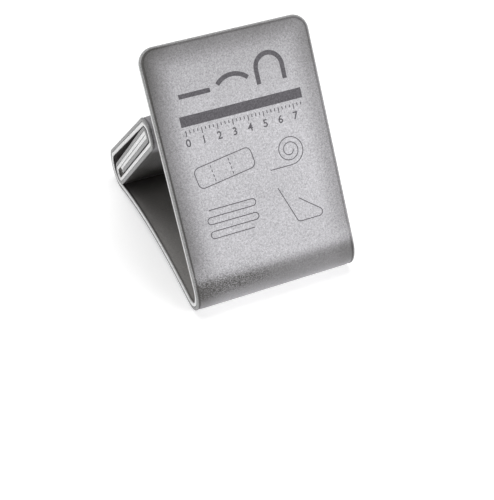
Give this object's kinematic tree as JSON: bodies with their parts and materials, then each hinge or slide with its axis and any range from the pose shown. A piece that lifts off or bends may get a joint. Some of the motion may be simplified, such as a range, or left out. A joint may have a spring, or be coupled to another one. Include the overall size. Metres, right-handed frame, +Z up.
{
  "type": "aluminium foam splint",
  "caption": "Flat padded splint strip with rounded ends, folded at the bottom and rolled flat at the back so that its front panel stands leaning on a table.",
  "frame": {"origin": "middle of the bounding box's underside, on the table under the middle of the strip's width", "axes": "+Z up; +X across the strip's width, to the viewer's right; the upright front panel faces -Y and the base panel runs back along +Y"},
  "size_m": [0.108, 0.1878, 0.1554],
  "materials": {
    "grey_foam": "matt, fine pebbled closed-cell foam",
    "light_foam": "matt, smooth closed-cell foam"
  },
  "bodies": {
    "root": {"foam_outer": "grey_foam", "foam_inner": "light_foam"}
  },
  "joints": []
}
